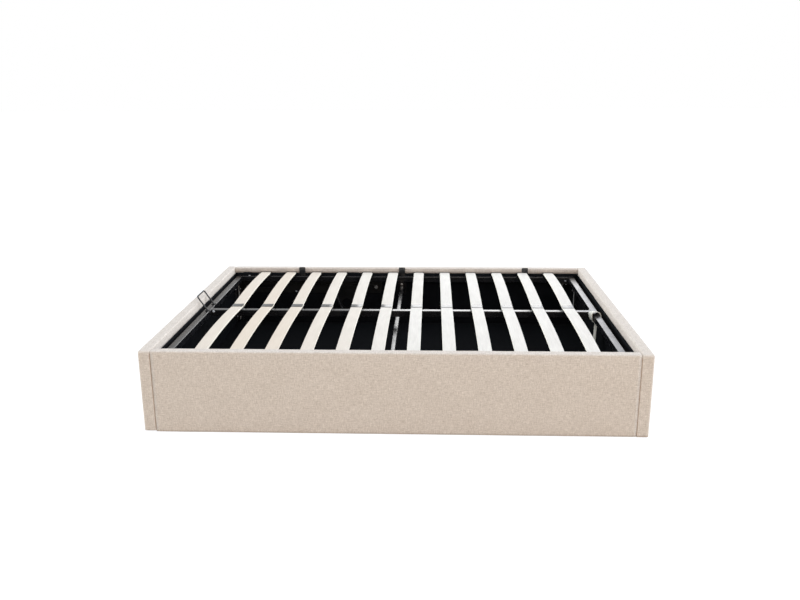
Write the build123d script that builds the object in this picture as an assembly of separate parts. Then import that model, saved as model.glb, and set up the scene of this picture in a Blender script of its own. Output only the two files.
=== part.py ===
from build123d import *
from math import atan2, cos, degrees, hypot, radians, sin, sqrt
import os

# An ottoman storage bed: a low upholstered box with a sprung slat platform that lifts at the foot.
# X runs along the bed from the head end to the foot end, Y across it and Z up from the floor.
# Left and right are as seen from the foot end, so the left side is towards -Y. Millimetres.

# Base, outside
bed_length = 2000.0
bed_width = 1460.0
end_height = 340.0
rail_drop = 7.0            # the side rails' tops lie this far below the end panels' tops
pad = 9.0                  # foam and fabric on the outer faces and on the tops
skin = 2.0                 # fabric alone inside and underneath, as thick as the lining
rail_board = 30.0
end_board = 36.0
edge_radius = 10.0
corner_radius = 9.0
foot_radius = 4.0
end_strip = 35.0           # fabric turned down inside from the top
rail_strip = 32.0
glide_height = 3.0
glide_radius = 14.0
glide_inset = 90.0

# Base, inside
bearer_height = 18.0
cleat_width = 20.0
bearer_width = 60.0
floor_thick = 4.0
floor_gap = 1.0
bracket_leg = 40.0
bracket_thick = 3.0
bracket_rise = 9.0         # corner bracket above the floor boards
bracket_drop = 23.0        # corner bracket below the platform's tubes
bracket_bolt_inset = 30.0
bolt_radius = 6.0
bolt_height = 3.0
beam_width = 20.0
beam_height = 30.0
beam_wall = 1.5
beam_past_pivot = 143.0    # from the lift arm's foot pivot to the beam's middle
beam_drop = 30.0           # beam below the platform's tubes
beam_plate_width = 50.0
beam_plate_margin = 20.0

# Lifting platform's steel frame
deck_drop = 40.0           # tube tops below the end panels' tops
tube = 30.0
tube_wall = 1.5
tube_radius = 3.0
head_gap = 18.0
foot_gap = 27.0
side_gap = 7.0
cap_thick = 1.2
cap_plug = 12.0
flange_width = 90.0
flange_height = 26.0
flange_thick = 3.0
flange_bolt_y = 33.0
head_bolt_inset = 37.0     # bolt on each side tube's top, from the head tube
foot_bolt_inset = 14.0     # bolt on each side tube's inner face, from the foot tube
foot_bolt_rise = 10.0

# Sprung slats and their holders
slat_rows = 12
slat_width = 55.0
slat_thick = 8.0
slat_rise = 11.0
slat_lift = 10.0           # slat underside above the tubes, at the slat's ends
slat_edge = 1.0
head_slat_gap = 102.5
foot_slat_gap = 81.5
pocket_gap = 0.4
holder_wall = 2.6
holder_depth = 36.0
holder_over = 5.0          # holder's top above the slat's end
claw = 7.0                 # how far a side holder's lips reach over the slat's edges
centre_cap = 20.0          # half length of the centre holder's closed top
centre_tray = 36.0         # half length of the tray below it

# Lifting mechanism, in the X-Z plane of each side
arm_length = 360.0         # lift arm, and the platform's stretch from its pivot to its roller
roller_setback = 55.0      # from the head tube's outer face to the closed roller
pivot_drop = 35.0          # the arm's foot pivot below the platform's tubes
closed_angle = 3.2
open_angle = 36.0
strut_radius = 250.0       # both ends of the gas strut lie this far from the arm's foot pivot
strut_foot_rise = 25.0     # the strut's foot above the floor boards
pin_radius = 6.0
pin_gap = 0.05
pin_head_radius = 10.0
pin_head = 3.0
arm_half = 13.0
arm_thick = 5.0
arm_washer = 2.0           # arm to base plate
plate_thick = 4.0
plate_down = 37.0          # base plate's edges below and above the arm's foot pivot
plate_up = 42.0
plate_past_roller = 30.0
plate_past_pivot = 31.0
plate_radius = 14.0
lug_radius = 16.0
lug_half = 58.0
lug_hole_radius = 26.0
roller_radius = 8.0
roller_gap = 0.3
axle_radius = 5.0
axle_collar = 8.5
screw_radius = 5.0
screw_height = 1.4
hanger_thick = 4.0
hanger_gap = 1.0           # hanger to lift arm
hanger_depth = 20.0
hanger_boss = 15.0
hanger_past = 25.0
stud_radius = 4.0
stud_collar = 7.0
stud_clip = 3.0
stud_clip_radius = 6.0
strut_inset = 28.0         # strut's centre line to the rail's inner face
eye_radius = 9.0
eye_width = 12.0
eye_gap = 0.5
neck_radius = 5.0
neck_length = 16.0
cylinder_radius = 9.0
cylinder_wall = 1.5
cylinder_plug = 10.0
rod_radius = 4.0
rod_shown = 30.0           # from the closed cylinder's mouth to the strut's head
rod_tip = 35.0             # from the strut's foot to the closed rod's inner end
piston_length = 8.0
piston_gap = 0.3

# Rests under the platform's side tubes near the foot end
rest_setback = 21.0        # from the foot tube's inner face to the rest's middle
rest_width = 50.0
rest_drop = 35.0           # back plate's lower edge below the tubes' underside
rest_thick = 3.0
rest_reach = 34.0
rest_gap = 0.3
rubber_thick = 4.5
gusset_drop = 24.0
rest_bolt_drop = 17.0      # rest bolts below the tubes' underside
rest_bolt_shifts = (-3.0, 16.0)
rest_bolt_height = 2.4

# Mattress retainer, stoppers and pull strap
wire_radius = 3.0
retainer_width = 114.0
retainer_y = 27.0
retainer_rise = 69.0       # top bar above the tube
retainer_lean = 44.0
retainer_bend = 10.0
foot_tab = 16.0
foot_tab_thick = 2.5
foot_tab_inset = 20.0
stopper_width = 40.0
stopper_thick = 2.0
stopper_rise = 43.0
stopper_low = 5.0
stopper_shares = (0.1866, 0.4908, 0.8684)   # places between the head tube and the foot tube
stopper_slot = 18.0
strap_width = 50.0
strap_thick = 2.2
strap_y = -45.0
strap_slack = 9.0
strap_gap = 0.4
strap_tail = 112.0         # how far the tail hangs below the tube

# A cut runs this far past the face it opens
cut = 5.0

# Worked-out places
half_length = bed_length / 2
half_width = bed_width / 2
rail_height = end_height - rail_drop
end_thick = pad + end_board + skin
rail_thick = pad + rail_board + skin
inside_x = half_length - end_thick
inside_y = half_width - rail_thick
board_low = glide_height + skin
floor_low = glide_height + bearer_height
floor_top = floor_low + floor_thick
deck_top = end_height - deck_drop
deck_low = deck_top - tube
deck_head = -inside_x + head_gap
deck_foot = inside_x - foot_gap
head_inner = deck_head + tube
foot_inner = deck_foot - tube
deck_side = inside_y - side_gap
slat_low = deck_top + slat_lift
slat_out = deck_side - holder_wall - pocket_gap
slat_in = holder_wall + pocket_gap
slat_pitch = (foot_inner - head_inner - head_slat_gap - foot_slat_gap - slat_width) / (slat_rows - 1)
holder_top = slat_low + slat_thick + holder_over
first_slat_x = head_inner + head_slat_gap + slat_width / 2
slat_xs = [first_slat_x + slat_pitch * row for row in range(slat_rows)]
stopper_xs = [head_inner + (foot_inner - head_inner) * share for share in stopper_shares]
rest_x = foot_inner - rest_setback
bracket_low = floor_top + bracket_rise
bracket_high = deck_low - bracket_drop
beam_top = deck_low - beam_drop

# Mechanism points, closed
pivot_z = deck_low - pivot_drop
roller = (deck_head + roller_setback, pivot_z)
pivot = (roller[0] + 2 * arm_length * cos(radians(closed_angle)), pivot_z)
joint_pin = ((roller[0] + pivot[0]) / 2, pivot_z + arm_length * sin(radians(closed_angle)))
roller_open_x = pivot[0] - 2 * arm_length * cos(radians(closed_angle + open_angle))
strut_foot_z = floor_top + strut_foot_rise
strut_foot = (pivot[0] - sqrt(strut_radius**2 - (pivot_z - strut_foot_z) ** 2), strut_foot_z)
strut_head = (
    pivot[0] - strut_radius * cos(radians(closed_angle)),
    pivot_z + strut_radius * sin(radians(closed_angle)),
)
strut_span = hypot(strut_head[0] - strut_foot[0], strut_head[1] - strut_foot[1])
strut_angle = degrees(atan2(strut_head[1] - strut_foot[1], strut_head[0] - strut_foot[0]))
cylinder_end = strut_span - rod_shown
plate_low = pivot_z - plate_down
plate_high = pivot_z + plate_up
beam_x = pivot[0] + beam_past_pivot

# Distances of the mechanism's layers from the bed's middle
plate_in = inside_y - plate_thick
arm_out = plate_in - arm_washer
arm_in = arm_out - arm_thick
hanger_out = arm_in - hanger_gap
hanger_in = hanger_out - hanger_thick
strut_y = inside_y - strut_inset
eye_out = strut_y + eye_width / 2
eye_in = strut_y - eye_width / 2


def block(x0, x1, y0, y1, z0, z1):
    """A box between two corners."""
    middle = Pos((x0 + x1) / 2, (y0 + y1) / 2, (z0 + z1) / 2)
    return middle * Box(x1 - x0, y1 - y0, z1 - z0)


def flip(shape):
    """The same piece on the other side of the bed."""
    return mirror(shape, about=Plane.XZ)


def swap(shape):
    """The same piece at the other end of the bed."""
    return mirror(shape, about=Plane.YZ)


def side_plate(profile, near, far):
    """An X-Z profile made into a plate between two distances from the bed's middle."""
    return extrude(Plane.XZ.offset(-far) * profile, far - near)


def side_disc(point, radius, near, far):
    """A disc with its axis across the bed, at an X-Z point."""
    return side_plate(Pos(point[0], point[1]) * Circle(radius), near, far)


def link(start, end, radius):
    """A bar outline with round ends between two points."""
    run = hypot(end[0] - start[0], end[1] - start[1])
    turn = degrees(atan2(end[1] - start[1], end[0] - start[0]))
    middle = Pos((start[0] + end[0]) / 2, (start[1] + end[1]) / 2)
    return middle * Rot(0, 0, turn) * SlotCenterToCenter(run, 2 * radius)


def square_tube(length, high=tube, wide=tube, wall=tube_wall):
    """A rectangular steel tube along X with rounded edges, centred on the origin."""
    outline = RectangleRounded(wide, high, tube_radius)
    hollow = RectangleRounded(wide - 2 * wall, high - 2 * wall, tube_radius - wall)
    return extrude(Plane.YZ.offset(-length / 2) * (outline - hollow), length)


def bolt_head(x, y, z, axis, radius=bolt_radius, height=bolt_height):
    """A low round head that stands on a face at the given point and rises along the axis."""
    head = Plane((x, y, z), z_dir=axis) * Pos(0, 0, height / 2) * Cylinder(radius, height)
    rim = head.edges().filter_by(GeomType.CIRCLE).sort_by(Axis((x, y, z), axis))[-1]
    return chamfer(rim, height / 3)


# Base panels

def end_core():
    """The board inside the foot panel."""
    return block(
        inside_x + skin, half_length - pad,
        -half_width + pad, half_width - pad,
        board_low, end_height - pad,
    )


def rail_core():
    """The board inside the right rail."""
    return block(
        -inside_x, inside_x,
        inside_y + skin, half_width - pad,
        board_low, rail_height - pad,
    )


def end_cover():
    """Foam and fabric round the foot panel, open inside below the turned-down strip."""
    middle = Pos(half_length - end_thick / 2, 0)
    plan = middle * RectangleRounded(end_thick, bed_width, corner_radius)
    body = extrude(Plane.XY.offset(glide_height) * plan, end_height - glide_height)
    body = fillet(body.faces().sort_by(Axis.Z)[-1].edges(), edge_radius)
    body = fillet(body.faces().sort_by(Axis.Z)[0].edges(), foot_radius)
    window = block(
        inside_x - cut, inside_x + skin,
        -inside_y, inside_y,
        glide_height - cut, end_height - end_strip,
    )
    return body - end_core() - window


def rail_cover():
    """Foam and fabric round the right rail, between the end panels."""
    wide = rail_thick
    high = rail_height - glide_height
    outline = Pos(inside_y + wide / 2, glide_height + high / 2) * Rectangle(wide, high)
    outline = fillet(outline.vertices().sort_by(Axis.Y)[-2:], edge_radius)
    outer_foot = outline.vertices().group_by(Axis.Y)[0].sort_by(Axis.X)[-1]
    outline = fillet(outer_foot, foot_radius)
    body = extrude(Plane.YZ.offset(-inside_x) * outline, 2 * inside_x)
    window = block(
        -inside_x - cut, inside_x + cut,
        inside_y - cut, inside_y + skin,
        glide_height - cut, rail_height - rail_strip,
    )
    return body - rail_core() - window


def lining():
    """Thin black sheets on the panels' inner faces."""
    end = block(
        inside_x, inside_x + skin,
        -inside_y, inside_y,
        board_low, end_height - end_strip,
    )
    rail = block(
        -inside_x, inside_x,
        inside_y, inside_y + skin,
        board_low, rail_height - rail_strip,
    )
    return Compound(children=[end, swap(end), rail, flip(rail)])


# Storage floor

def floor_boards():
    """Two thin boards that lie on the bearers."""
    half = block(
        floor_gap, inside_x - floor_gap,
        -inside_y + floor_gap, inside_y - floor_gap,
        floor_low, floor_top,
    )
    return Compound(children=[half, swap(half)])


def bearers():
    """Cleats along the panels, and a centre bearer with two cross bearers."""
    low = board_low
    rail = block(-inside_x, inside_x, inside_y - cleat_width, inside_y, low, floor_low)
    inner_y = inside_y - cleat_width
    end = block(inside_x - cleat_width, inside_x, -inner_y, inner_y, low, floor_low)
    inner_x = inside_x - cleat_width
    half = bearer_width / 2
    centre = block(-inner_x, inner_x, -half, half, glide_height, floor_low)
    cross = block(-half, half, half, inner_y, glide_height, floor_low)
    return Compound(children=[rail, flip(rail), end, swap(end), centre, cross, flip(cross)])


def glides():
    """Thin plastic discs under the panels and the bearers."""
    disc = extrude(Circle(glide_radius), glide_height)
    end_x = half_length - pad - end_board / 2
    rail_y = half_width - pad - rail_board / 2
    inset_y = half_width - glide_inset
    bearer_x = inside_x - glide_inset
    places = [(x, y) for x in (-end_x, end_x) for y in (-inset_y, inset_y)]
    places += [(x, y) for x in (-bearer_x / 2, bearer_x / 2) for y in (-rail_y, rail_y)]
    places += [(-bearer_x, 0), (0, 0), (bearer_x, 0)]
    return Compound(children=[Pos(x, y, 0) * disc for x, y in places])


# Corner brackets and the fixed cross beam

def corner_bracket():
    """An angle that joins the foot panel to the right rail."""
    high = bracket_high - bracket_low
    leg = bracket_leg
    plan = Polyline(
        (inside_x, inside_y),
        (inside_x - leg, inside_y),
        (inside_x - leg, inside_y - bracket_thick),
        (inside_x - bracket_thick, inside_y - bracket_thick),
        (inside_x - bracket_thick, inside_y - leg),
        (inside_x, inside_y - leg),
        close=True,
    )
    return extrude(Plane.XY.offset(bracket_low) * make_face(plan), high)


def corner_brackets():
    """One angle in each corner."""
    one = corner_bracket()
    return Compound(children=[one, flip(one), swap(one), swap(flip(one))])


def cross_beam():
    """A fixed rectangular tube from rail to rail, near the bed's middle."""
    length = 2 * (inside_y - bracket_thick)
    outline = RectangleRounded(beam_width, beam_height, tube_radius)
    inner_wide = beam_width - 2 * beam_wall
    inner_high = beam_height - 2 * beam_wall
    hollow = RectangleRounded(inner_wide, inner_high, tube_radius - beam_wall)
    ring = Pos(beam_x, beam_top - beam_height / 2) * (outline - hollow)
    return extrude(Plane.XZ.offset(-length / 2) * ring, length)


def beam_plates():
    """Plates on the rails that carry the beam's ends."""
    low = beam_top - beam_height - beam_plate_margin
    high = beam_top + beam_plate_margin
    half = beam_plate_width / 2
    outline = Pos(beam_x, (low + high) / 2) * RectangleRounded(2 * half, high - low, tube_radius)
    plate = side_plate(outline, inside_y - bracket_thick, inside_y)
    return Compound(children=[plate, flip(plate)])


# Lifting mechanism, right side

def hinge_plate():
    """The base plate on the rail: a long bar with the roller's slot, and a lug for the strut."""
    left = roller[0] - plate_past_roller
    right = pivot[0] + plate_past_pivot
    middle = Pos((left + right) / 2, (plate_low + plate_high) / 2)
    bar = middle * RectangleRounded(right - left, plate_high - plate_low, plate_radius)
    shoulder = plate_low + plate_radius
    corners = [
        Pos(strut_foot[0], strut_foot[1]) * Circle(lug_radius),
        Pos(strut_foot[0] - lug_half, shoulder) * Circle(plate_radius),
        Pos(strut_foot[0] + lug_half, shoulder) * Circle(plate_radius),
    ]
    lug = make_hull(Sketch(children=corners).edges())
    slot_radius = roller_radius + roller_gap
    slot = link(roller, (roller_open_x, roller[1]), slot_radius)
    window = Pos(strut_foot[0], (strut_foot[1] + plate_low) / 2 + lug_radius) * Circle(lug_hole_radius)
    return side_plate(bar + lug - slot - window, plate_in, inside_y)


def screw_places():
    """X-Z places of the screws that hold a base plate."""
    low = plate_low + screw_radius + bolt_height
    high = plate_high - screw_radius - bolt_height
    first = roller[0] + plate_past_roller / 2
    last = pivot[0]
    reach = last - first
    top_shares = (0.0, 0.175, 0.52, 0.8)
    bottom_shares = (0.0, 0.36, 0.9)
    places = [(first + reach * share, high) for share in top_shares]
    places += [(first + reach * share, low) for share in bottom_shares]
    places.append((strut_foot[0], strut_foot[1] + lug_radius + 2 * screw_radius))
    return places


def base_pin():
    """The pin that the lift arm turns on, with its washer and head."""
    washer = side_disc(pivot, pin_head_radius + pin_gap, arm_out + pin_gap, plate_in)
    shank = side_disc(pivot, pin_radius, arm_in - pin_gap, plate_in)
    head = side_disc(pivot, pin_head_radius, arm_in - pin_gap - pin_head, arm_in - pin_gap)
    return washer + shank + head


def stud(point, seat):
    """A strut's stud: a collar from its seat to the eye, a shank through it and an end clip."""
    collar = side_disc(point, stud_collar, eye_out + eye_gap, seat)
    shank = side_disc(point, stud_radius, eye_in - eye_gap, seat)
    clip_far = eye_in - eye_gap
    clip = side_disc(point, stud_clip_radius, clip_far - stud_clip, clip_far)
    return collar + shank + clip


def lift_arm():
    """A flat steel arm from the base plate's pin to the platform's pin."""
    hole = pin_radius + pin_gap
    bar = link(pivot, joint_pin, arm_half)
    for point in (pivot, joint_pin):
        bar -= Pos(point[0], point[1]) * Circle(hole)
    return side_plate(bar, arm_in, arm_out)


def hanger():
    """The plate that hangs from the side tube and carries the roller and the arm's pin."""
    left = roller[0] - hanger_past
    right = joint_pin[0] + hanger_past
    middle = Pos((left + right) / 2, deck_low - hanger_depth / 2)
    strip = middle * Rectangle(right - left, hanger_depth)
    boss = Pos(roller[0], roller[1]) * Circle(hanger_boss)
    web = Pos(roller[0], (roller[1] + deck_low) / 2) * Rectangle(2 * hanger_boss, deck_low - roller[1])
    ear = Pos(joint_pin[0], joint_pin[1]) * Circle(deck_low - joint_pin[1])
    outline = strip + boss + web + ear
    outline -= Pos(roller[0], roller[1]) * Circle(axle_radius + pin_gap)
    outline -= Pos(joint_pin[0], joint_pin[1]) * Circle(pin_radius + pin_gap)
    return side_plate(outline, hanger_in, hanger_out)


def frame_pins():
    """The pin in the arm and the roller's axle, both carried by the hanger."""
    head = side_disc(joint_pin, pin_head_radius, hanger_in - pin_head, hanger_in)
    shank = side_disc(joint_pin, pin_radius, hanger_in, arm_out)
    axle_head = side_disc(roller, axle_collar, hanger_in - pin_head, hanger_in)
    axle = side_disc(roller, axle_radius, hanger_in, inside_y - roller_gap)
    collar = side_disc(roller, axle_collar, hanger_out, plate_in - roller_gap)
    return [head + shank, axle_head + axle + collar]


def slot_roller():
    """The nylon roller in the base plate's slot."""
    tyre = side_disc(roller, roller_radius, plate_in - roller_gap, inside_y - roller_gap)
    bore = side_disc(roller, axle_radius + pin_gap, plate_in - roller_gap, inside_y - roller_gap)
    return tyre - bore


def on_strut(shape):
    """Places a shape drawn along X from the strut's foot onto the closed strut."""
    return Pos(strut_foot[0], strut_y, strut_foot[1]) * Rot(0, -strut_angle, 0) * shape


def rod_between(start, end, radius):
    """A round bar along X between two distances."""
    return Pos((start + end) / 2, 0, 0) * Rot(0, 90, 0) * Cylinder(radius, end - start)


def strut_eye():
    """An end fitting's eye, at the origin, with its bore across the bed."""
    eye = Rot(90, 0, 0) * Cylinder(eye_radius, eye_width)
    return eye - Rot(90, 0, 0) * Cylinder(stud_radius + pin_gap, eye_width)


def strut_cylinder():
    """The gas strut's cylinder, closed at its foot and plugged round the rod."""
    bore = cylinder_radius - cylinder_wall
    mouth = cylinder_end - cylinder_plug
    neck = rod_between(eye_radius - bolt_height, neck_length, neck_radius)
    shell = rod_between(neck_length, cylinder_end, cylinder_radius)
    shell -= rod_between(neck_length + bolt_height, mouth, bore)
    shell -= rod_between(mouth - cut, cylinder_end + cut, rod_radius + pin_gap)
    return on_strut(strut_eye() + neck + shell)


def strut_rod():
    """The gas strut's rod with its piston and end fitting."""
    bar = rod_between(rod_tip, strut_span - neck_length, rod_radius)
    neck = rod_between(strut_span - neck_length, strut_span - eye_radius + bolt_height, neck_radius)
    piston_radius = cylinder_radius - cylinder_wall - piston_gap
    piston = rod_between(rod_tip, rod_tip + piston_length, piston_radius)
    return on_strut(Pos(strut_span, 0, 0) * strut_eye() + neck + bar + piston)


# Rests for the platform, right side

def rest_bracket():
    """An angle on the rail below the side tube, with a gusset."""
    near = inside_y - rest_thick
    shelf_top = deck_low - rest_gap - rubber_thick
    shelf_low = shelf_top - rest_thick
    left = rest_x - rest_width / 2
    right = rest_x + rest_width / 2
    back = block(left, right, near, inside_y, deck_low - rest_drop, shelf_top)
    shelf = block(left, right, inside_y - rest_reach, near, shelf_low, shelf_top)
    drop = Polyline(
        (near, shelf_low),
        (inside_y - rest_reach, shelf_low),
        (near, shelf_low - gusset_drop),
        close=True,
    )
    gusset = extrude(Plane.YZ.offset(left) * make_face(drop), rest_thick)
    return back + shelf + gusset


def rest_pad():
    """A rubber pad on the rest's shelf."""
    low = deck_low - rest_gap - rubber_thick
    left = rest_x - rest_width / 2
    right = min(rest_x + rest_width / 2, foot_inner)
    return block(left, right, inside_y - rest_reach, deck_side, low, low + rubber_thick)


# Platform frame

def end_tube(x):
    """A tube across the platform, centred at a place along the bed."""
    length = 2 * deck_side
    return Pos(x, 0, deck_top - tube / 2) * Rot(0, 0, 90) * square_tube(length)


def side_tube():
    """The right tube along the platform, between the end tubes."""
    middle = (head_inner + foot_inner) / 2
    centre_y = deck_side - tube / 2
    return Pos(middle, centre_y, deck_top - tube / 2) * square_tube(foot_inner - head_inner)


def centre_tube():
    """The middle tube along the platform, between its end flanges."""
    middle = (head_inner + foot_inner) / 2
    run = foot_inner - head_inner - 2 * flange_thick
    return Pos(middle, 0, deck_top - tube / 2) * square_tube(run)


def centre_flanges():
    """The plates welded to the middle tube's ends and bolted to the end tubes."""
    place = Plane.YZ * Pos(0, deck_top - tube / 2)
    outline = place * RectangleRounded(flange_width, flange_height, tube_radius)
    head = Pos(head_inner, 0, 0) * extrude(outline, flange_thick)
    foot = Pos(foot_inner - flange_thick, 0, 0) * extrude(outline, flange_thick)
    return Compound(children=[head, foot])


def tube_caps():
    """Plastic caps in the end tubes' open ends."""
    room = tube - 2 * tube_wall - 2 * pin_gap
    caps = []
    for x in (deck_head + tube / 2, deck_foot - tube / 2):
        place = Pos(x, deck_side, deck_top - tube / 2) * Rot(-90, 0, 0)
        lid = extrude(RectangleRounded(tube, tube, tube_radius), cap_thick)
        plug = extrude(RectangleRounded(room, room, tube_radius - tube_wall), -cap_plug)
        caps.append(place * (lid + plug))
    return Compound(children=caps + [flip(cap) for cap in caps])


# Slats and holders

def bow(y0, y1, low, thick, rise, width):
    """A bowed band across the bed, centred on X zero."""
    middle = (y0 + y1) / 2
    under = ThreePointArc((y0, low), (middle, low + rise), (y1, low))
    over = ThreePointArc((y0, low + thick), (middle, low + thick + rise), (y1, low + thick))
    sides = [Line(under @ 0, over @ 0), Line(under @ 1, over @ 1)]
    face = make_face([under, over] + sides)
    return extrude(Plane.YZ.offset(-width / 2) * face, width)


def slat(x):
    """The right-hand sprung slat of a row."""
    body = bow(slat_in, slat_out, slat_low, slat_thick, slat_rise, slat_width)
    long_edges = [edge for edge in body.edges() if edge.length > slat_out / 2]
    return Pos(x, 0, 0) * chamfer(long_edges, slat_edge)


def slat_row(x):
    """The two slats of a row, one each side of the centre tube."""
    right = slat(x)
    return Compound(children=[right, flip(right)])


def pocket():
    """The room that a slat takes in its holders."""
    width = slat_width + 2 * pocket_gap
    thick = slat_thick + 2 * pocket_gap
    y0 = slat_in - pocket_gap
    y1 = slat_out + pocket_gap
    return bow(y0, y1, slat_low - pocket_gap, thick, slat_rise, width)


def side_holder():
    """The open-topped plastic holder of a slat's outer end, centred on X zero."""
    half = slat_width / 2 + pocket_gap + holder_wall
    out = deck_side
    body = block(-half, half, out - holder_depth, out, deck_top, holder_top)
    lip = slat_width / 2 - claw
    opening = block(
        -lip, lip,
        out - holder_depth - cut, out - holder_wall,
        slat_low + slat_thick / 2, holder_top + cut,
    )
    return body - pocket() - opening


def centre_holder():
    """The double plastic holder on the centre tube, centred on X zero."""
    half = slat_width / 2 + pocket_gap + holder_wall
    cap = block(-half, half, -centre_cap, centre_cap, deck_top, holder_top)
    tray = block(-half, half, -centre_tray, centre_tray, deck_top, slat_low + slat_thick / 2)
    return cap + tray - pocket() - flip(pocket())


def side_holders():
    """All the holders on the side tubes."""
    one = side_holder()
    right = [Pos(x, 0, 0) * one for x in slat_xs]
    return Compound(children=right + [flip(holder) for holder in right])


def centre_holders():
    """All the double holders on the centre tube."""
    one = centre_holder()
    return Compound(children=[Pos(x, 0, 0) * one for x in slat_xs])


# Mattress retainer, stoppers and pull strap

def retainer():
    """A bent wire hoop at the head end that leans out over the head panel."""
    half = retainer_width / 2
    foot_x = head_inner - foot_tab_inset / 2
    foot_z = deck_top + foot_tab_thick
    top_x = foot_x - retainer_lean
    top_z = deck_top + retainer_rise
    path = FilletPolyline(
        (foot_x, retainer_y - half, foot_z),
        (top_x, retainer_y - half, top_z),
        (top_x, retainer_y + half, top_z),
        (foot_x, retainer_y + half, foot_z),
        radius=retainer_bend,
    )
    wire = sweep(Plane(path @ 0, z_dir=path % 0) * Circle(wire_radius), path=path)
    for y in (retainer_y - half, retainer_y + half):
        near = y - foot_tab / 2
        far = y + foot_tab / 2
        wire += block(head_inner - foot_tab_inset, head_inner, near, far, deck_top, foot_z)
    return wire


def stopper(x):
    """An upright clip on the right side tube that keeps the mattress in place."""
    low = deck_low + stopper_low
    high = deck_top + stopper_rise
    middle = Pos(x, (low + high) / 2)
    outline = middle * RectangleRounded(stopper_width, high - low, tube_radius)
    slot_z = (deck_top + high) / 2
    outline -= Pos(x, slot_z) * SlotOverall(stopper_slot, tube_radius * 2)
    return side_plate(outline, deck_side, deck_side + stopper_thick)


def stoppers():
    """Stopper clips along the right side tube."""
    return Compound(children=[stopper(x) for x in stopper_xs])


def pull_strap():
    """A fabric loop round the foot tube with a tail that hangs inside the bed."""
    left = foot_inner - strap_slack
    right = deck_foot + strap_gap
    low = deck_low - strap_slack
    high = deck_top + strap_gap
    wide = right - left
    deep = high - low
    middle = Pos((left + right) / 2, (low + high) / 2)
    bend = tube_radius + strap_gap
    inner = RectangleRounded(wide, deep, bend)
    ring = RectangleRounded(
        wide + 2 * strap_thick, deep + 2 * strap_thick, bend + strap_thick
    )
    tail_x = right - bend - strap_thick
    tail_top = low - strap_thick / 2
    tail_low = deck_low - strap_tail
    tail = Pos(tail_x, (tail_top + tail_low) / 2) * Rectangle(strap_thick, tail_top - tail_low)
    outline = middle * (ring - inner) + tail
    near = strap_y - strap_width / 2
    return side_plate(outline, near, near + strap_width)


# Fasteners

def base_bolts():
    """Bolt heads on the corner brackets, the beam's plates and the rests."""
    heads = []
    for z in (bracket_low + bracket_bolt_inset, bracket_high - bracket_bolt_inset):
        reach = (bracket_leg + bracket_thick) / 2
        face_y = inside_y - bracket_thick
        face_x = inside_x - bracket_thick
        on_rail = bolt_head(inside_x - reach, face_y, z, (0, -1, 0))
        on_end = bolt_head(face_x, inside_y - reach, z, (-1, 0, 0))
        heads += [on_rail, on_end, swap(on_rail), swap(on_end)]
    face_y = inside_y - bracket_thick
    offset = beam_height / 2 + beam_plate_margin / 2
    for side in (-1, 1):
        z = beam_top - beam_height / 2 + side * offset
        heads.append(bolt_head(beam_x, face_y, z, (0, -1, 0)))
    rest_face = inside_y - rest_thick
    rest_z = deck_low - rest_bolt_drop
    for shift in rest_bolt_shifts:
        x = rest_x + shift
        heads.append(bolt_head(x, rest_face, rest_z, (0, -1, 0), screw_radius, rest_bolt_height))
    return Compound(children=heads + [flip(head) for head in heads])


def plate_screws():
    """Low screw heads on both base plates."""
    heads = [
        bolt_head(x, plate_in, z, (0, -1, 0), screw_radius, screw_height)
        for x, z in screw_places()
    ]
    return Compound(children=heads + [flip(head) for head in heads])


def frame_bolts():
    """Bolt heads on the platform's side tubes and flanges."""
    heads = []
    for side in (-1, 1):
        x = head_inner + head_bolt_inset
        y = side * (deck_side - tube / 2)
        heads.append(bolt_head(x, y, deck_top, (0, 0, 1), bolt_radius, bolt_height))
        x = foot_inner - foot_bolt_inset
        y = side * (deck_side - tube)
        heads.append(bolt_head(x, y, deck_low + foot_bolt_rise, (0, -side, 0), screw_radius, bolt_height))
    flange_z = deck_top - tube / 2
    for y in (-flange_bolt_y, flange_bolt_y):
        head_face = head_inner + flange_thick
        foot_face = foot_inner - flange_thick
        heads.append(bolt_head(head_face, y, flange_z, (1, 0, 0), screw_radius, bolt_height))
        heads.append(bolt_head(foot_face, y, flange_z, (-1, 0, 0), screw_radius, bolt_height))
    return Compound(children=heads)


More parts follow.
